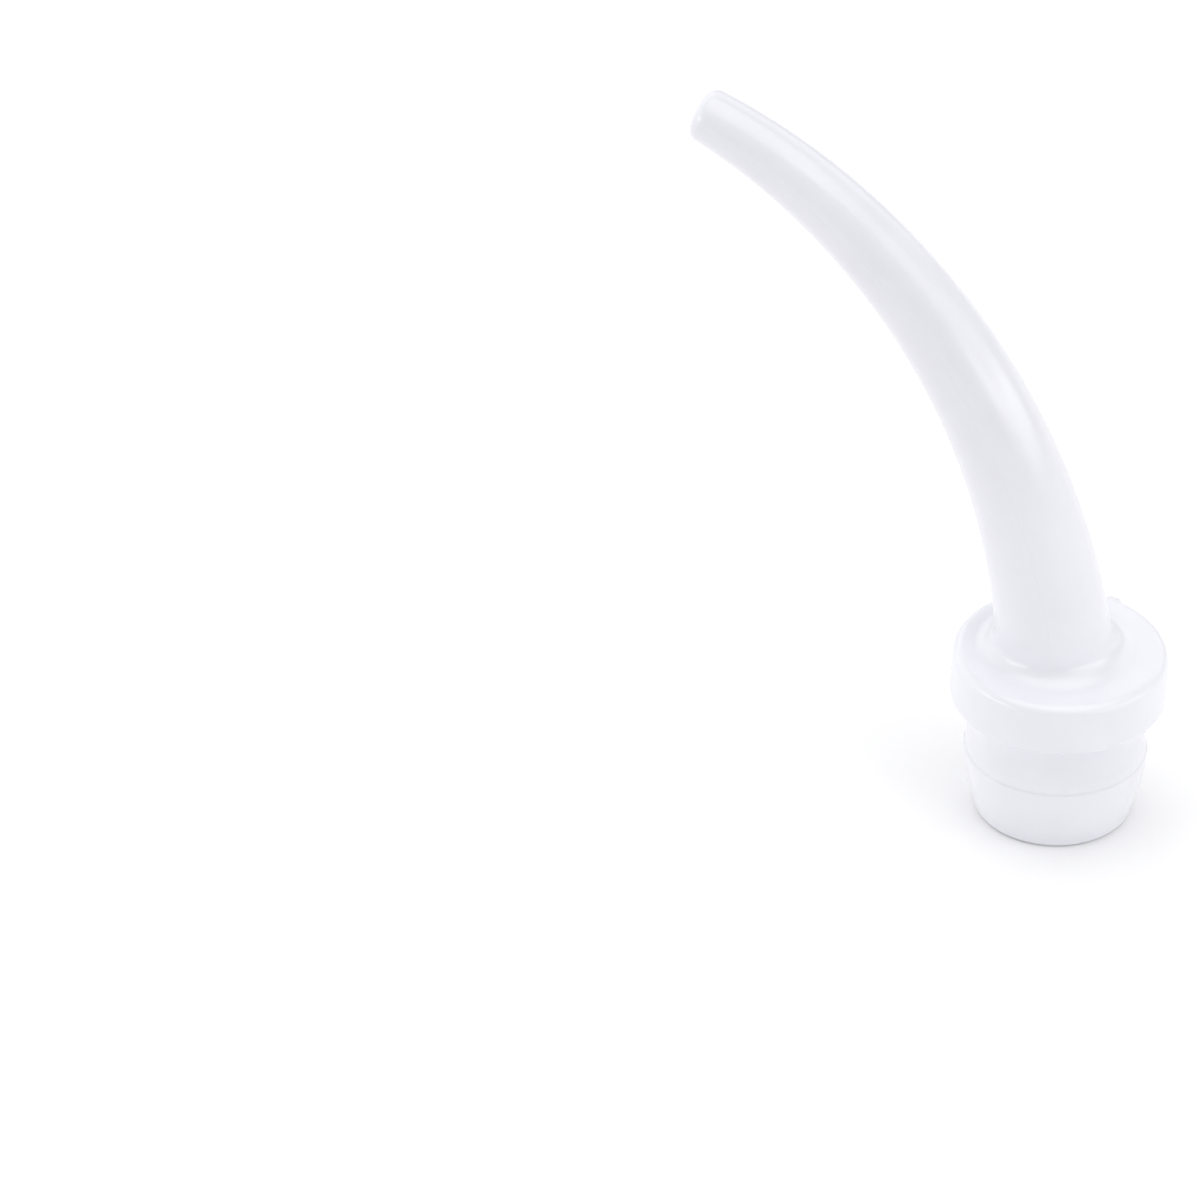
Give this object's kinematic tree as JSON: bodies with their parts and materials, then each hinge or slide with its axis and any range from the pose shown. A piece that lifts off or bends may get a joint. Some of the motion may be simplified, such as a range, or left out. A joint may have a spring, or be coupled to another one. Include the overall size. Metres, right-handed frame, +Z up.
{
  "type": "curved dental ejector tip",
  "caption": "Curved, tapering hollow plastic tip with a round collar and a push-in plug, for a dental ejector or syringe.",
  "frame": {"origin": "centre of the plug's end, in the plane of its end face, at the socket's mouth", "axes": "+Z up the plug's axis towards the spout, -X towards the side the spout bends to"},
  "size_m": [0.0192, 0.0083, 0.0273],
  "materials": {
    "natural_polypropylene": "frosted, translucent, satin, as moulded"
  },
  "bodies": {
    "root": {"plug": "natural_polypropylene", "collar": "natural_polypropylene", "spout": "natural_polypropylene"}
  },
  "joints": []
}
